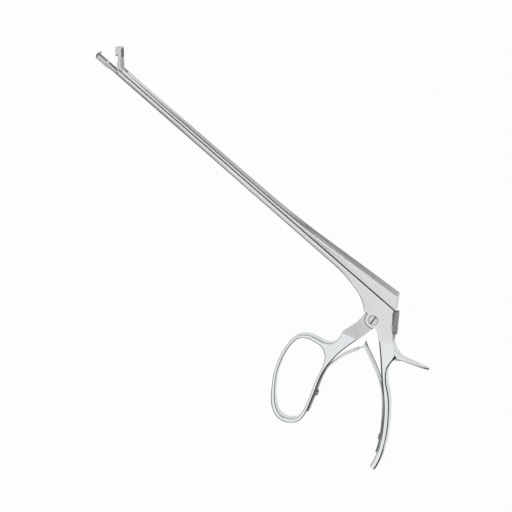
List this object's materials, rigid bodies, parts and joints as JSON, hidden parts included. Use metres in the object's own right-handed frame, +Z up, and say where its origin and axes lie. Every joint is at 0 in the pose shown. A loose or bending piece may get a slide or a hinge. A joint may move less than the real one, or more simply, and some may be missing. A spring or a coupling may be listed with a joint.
{
  "type": "biopsy forceps",
  "caption": "Long-shafted punch biopsy forceps with a hinged upper jaw driven by a sliding bar, a finger ring and a rear handle with leaf springs.",
  "frame": {"origin": "pivot screw axis at the face of the lower cheek, the instrument lying on its side", "axes": "+X from the jaws along the shaft to the handles, +Y to the slide side, +Z up through the thickness"},
  "size_m": [0.2917, 0.1156, 0.0082],
  "materials": {
    "satin_steel": "satin",
    "polished_steel": "polished",
    "spring_steel": "polished",
    "screw_steel": "satin",
    "dark_steel": "satin"
  },
  "bodies": {
    "frame": {"fixed_frame": "satin_steel", "rear_handle": "polished_steel", "basket_pin": "dark_steel", "jaw_pivot_pin": "screw_steel", "front_guide_key": "screw_steel", "rear_guide_key": "screw_steel", "pivot_screw": "screw_steel", "rear_leaf_spring": "spring_steel", "rear_spring_screw": "screw_steel"},
    "slide": {"slide_bar": "satin_steel", "jaw_link_pin": "screw_steel"},
    "jaw": {"moving_jaw": "satin_steel"},
    "handle": {"front_lever": "satin_steel", "ring_handle": "polished_steel", "front_leaf_spring": "spring_steel", "front_spring_screw": "screw_steel"}
  },
  "joints": [
    {"name": "handle_pivot", "type": "hinge", "parent": "frame", "child": "handle", "pos_m": [0, 0, 0.004], "axis": [0, 0, 1], "range_deg": [0, 9.19], "stiffness_Nm_per_rad": 5, "springref_deg": -2.86, "deforming": ["front_leaf_spring", "rear_leaf_spring"]},
    {"name": "slide_travel", "type": "slide", "parent": "frame", "child": "slide", "axis": [-1, 0, 0], "range_m": [0, 0.00233]},
    {"name": "jaw_pivot", "type": "hinge", "parent": "frame", "child": "jaw", "pos_m": [-0.213, 0.01215, 0.004], "axis": [0, 0, 1], "range_deg": [0, 50]}
  ],
  "couplings": [
    {"joint": "slide_travel", "follows": "handle_pivot", "m_per_rad": 0.014534},
    {"joint": "jaw_pivot", "follows": "handle_pivot", "ratio": 5.44}
  ]
}
